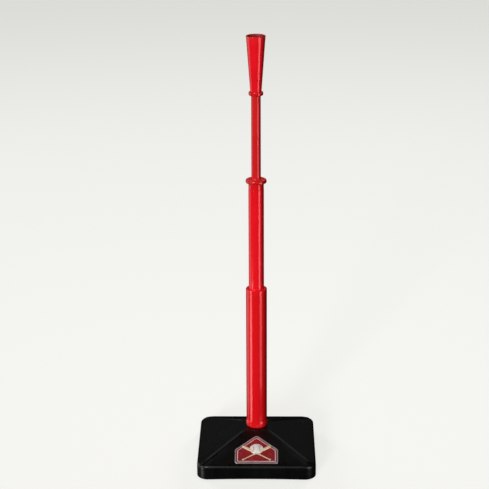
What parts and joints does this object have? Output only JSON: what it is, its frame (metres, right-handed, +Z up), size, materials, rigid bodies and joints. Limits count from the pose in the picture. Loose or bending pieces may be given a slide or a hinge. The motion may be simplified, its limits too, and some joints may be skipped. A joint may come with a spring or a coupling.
{
  "type": "batting tee",
  "caption": "Batting tee: a red telescoping stem with a flared rubber ball cone, held at height by O-ring friction, on a weighted square black base.",
  "frame": {"origin": "centre of the base on the floor, in the plane of the undersides of the feet", "axes": "+Z up the stem, -Y towards the front facet that carries the badge, +X to the right seen from the front"},
  "size_m": [0.305, 0.305, 1.1146],
  "materials": {
    "black_shell": "semi-gloss moulded",
    "black_cover": "fine matt grain",
    "ballast_steel": "rough black primer on steel",
    "foot_rubber": "matt",
    "zinc_steel": "bright zinc plated",
    "badge": "gloss printed",
    "red_tube": "gloss extruded",
    "red_guide": "gloss moulded",
    "black_piston": "satin moulded",
    "o_ring_rubber": "greased satin",
    "cone_rubber": "smooth semi-gloss"
  },
  "bodies": {
    "base": {"base_shell": "black_shell", "base_cover": "black_cover", "ballast_plate": "ballast_steel", "foot_front_left": "foot_rubber", "foot_front_right": "foot_rubber", "foot_rear_left": "foot_rubber", "foot_rear_right": "foot_rubber", "foot_screws": "zinc_steel", "cover_screws": "zinc_steel", "centre_bolt": "zinc_steel", "lock_nut": "zinc_steel", "load_washer": "zinc_steel", "spring_washer": "zinc_steel", "tube_washer": "zinc_steel", "badge_plate": "badge", "lower_tube": "red_tube", "lower_guide": "red_guide"},
    "middle_o_rings": {"middle_o_ring_lower": "o_ring_rubber", "middle_o_ring_upper": "o_ring_rubber"},
    "middle_section": {"middle_tube": "red_tube", "middle_collar": "red_guide", "middle_piston": "black_piston"},
    "upper_o_rings": {"upper_o_ring_lower": "o_ring_rubber", "upper_o_ring_upper": "o_ring_rubber"},
    "upper_section": {"upper_tube": "red_tube", "upper_collar": "red_guide", "upper_tube_cap": "black_piston", "upper_piston": "black_piston", "ball_cone": "cone_rubber"}
  },
  "joints": [
    {"name": "middle_slide", "type": "slide", "parent": "base", "child": "middle_o_rings", "axis": [0, 0, 1], "range_m": [-0.2785, 0.0195]},
    {"name": "middle_swivel", "type": "hinge", "parent": "middle_o_rings", "child": "middle_section", "pos_m": [0, 0, 0.4], "axis": [0, 0, 1], "continuous": true},
    {"name": "upper_slide", "type": "slide", "parent": "middle_section", "child": "upper_o_rings", "axis": [0, 0, 1], "range_m": [-0.2115, 0.035]},
    {"name": "upper_swivel", "type": "hinge", "parent": "upper_o_rings", "child": "upper_section", "pos_m": [0, 0, 0.66], "axis": [0, 0, 1], "continuous": true}
  ]
}
